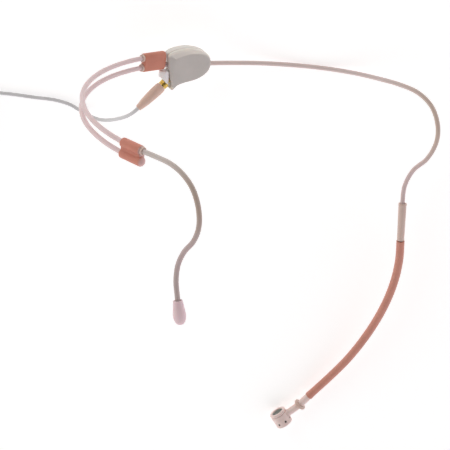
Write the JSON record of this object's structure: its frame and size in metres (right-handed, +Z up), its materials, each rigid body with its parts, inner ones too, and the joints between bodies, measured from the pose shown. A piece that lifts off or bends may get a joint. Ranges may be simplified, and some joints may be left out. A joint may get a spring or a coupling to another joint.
{
  "type": "headset microphone",
  "caption": "Head-worn microphone: twin-wire adjustable neckband with two ear hooks, gooseneck boom, drum capsule, housing and plug-in cable.",
  "frame": {"origin": "on the surface it lies on, under the middle of the headset's own footprint, cable left out", "axes": "+X forward along the microphone-side arm, +Y the wearer's up, +Z up from the table towards the other ear"},
  "size_m": [0.2081, 0.1685, 0.1298],
  "materials": {
    "salmon": "satin moulded salmon plastic",
    "sheath": "satin beige-pink coating",
    "steel": "plain spring steel",
    "shell": "satin light grey-beige plastic",
    "face": "fine matt warm grey plastic",
    "blush": "satin blush plastic",
    "soft_tip": "soft matt pink",
    "gold": "bright gold plate",
    "cord": "matt grey jacket",
    "black": "matt black",
    "board": "green laminate",
    "mesh": "dark woven mesh",
    "felt": "grey felt",
    "nickel": "satin nickel"
  },
  "bodies": {
    "headset": {"right_wire_sheath": "sheath", "right_wire_core": "steel", "left_sleeve": "salmon", "left_sleeve_bush_upper": "blush", "housing_base": "shell", "housing_cover": "face", "socket_knuckle": "blush", "socket_shell": "gold", "socket_insulator": "black", "socket_contact": "gold", "terminal_board": "board", "wire_crimp": "steel", "boom_coupler": "blush"},
    "far_ear": {"left_wire_sheath": "sheath", "left_wire_core": "steel", "right_sleeve": "salmon", "right_sleeve_bush_upper": "blush", "right_sleeve_bush_lower": "blush", "ear_tip": "soft_tip"},
    "boom": {"boom_sleeve": "salmon", "boom_gooseneck": "steel"},
    "microphone": {"mic_neck": "blush", "mic_collar": "blush", "capsule_stem": "blush", "capsule_cup": "blush", "capsule_cap": "blush", "capsule_grille": "mesh", "capsule_felt": "felt", "capsule_cartridge": "steel", "capsule_board": "board"},
    "plug": {"plug_pin": "gold", "plug_insulator": "black", "plug_ring": "gold", "plug_boot": "blush", "cable": "cord", "cable_coil": "cord", "coil_tie": "black", "cable_lead": "cord", "jack_boot": "black", "jack_shell": "nickel", "jack_plug": "gold"},
    "jack_collar": {"jack_ring": "nickel"}
  },
  "joints": [
    {"name": "band_adjust", "type": "hinge", "parent": "headset", "child": "far_ear", "pos_m": [-0.0092, 0.0794, 0.066], "axis": [0, 1, 0], "range_deg": [0, 40]},
    {"name": "boom_swivel", "type": "hinge", "parent": "headset", "child": "boom", "pos_m": [0.0608, 0.0138, 0.0144], "axis": [-0.1013, 0.9941, -0.038], "range_deg": [0, 75]},
    {"name": "boom_bend", "type": "hinge", "parent": "boom", "child": "microphone", "pos_m": [0.0572, -0.0256, 0.0102], "axis": [0, 0, 1], "range_deg": [-25, 30], "deforming": ["boom_sleeve", "boom_gooseneck"]},
    {"name": "plug_slide", "type": "slide", "parent": "headset", "child": "plug", "axis": [-0.6538, -0.6984, 0.2911], "range_m": [0, 0.006]},
    {"name": "jack_ring_spin", "type": "hinge", "parent": "plug", "child": "jack_collar", "pos_m": [-0.1338, 0.0129, 0.0039], "axis": [0, -1, 0], "continuous": true}
  ]
}
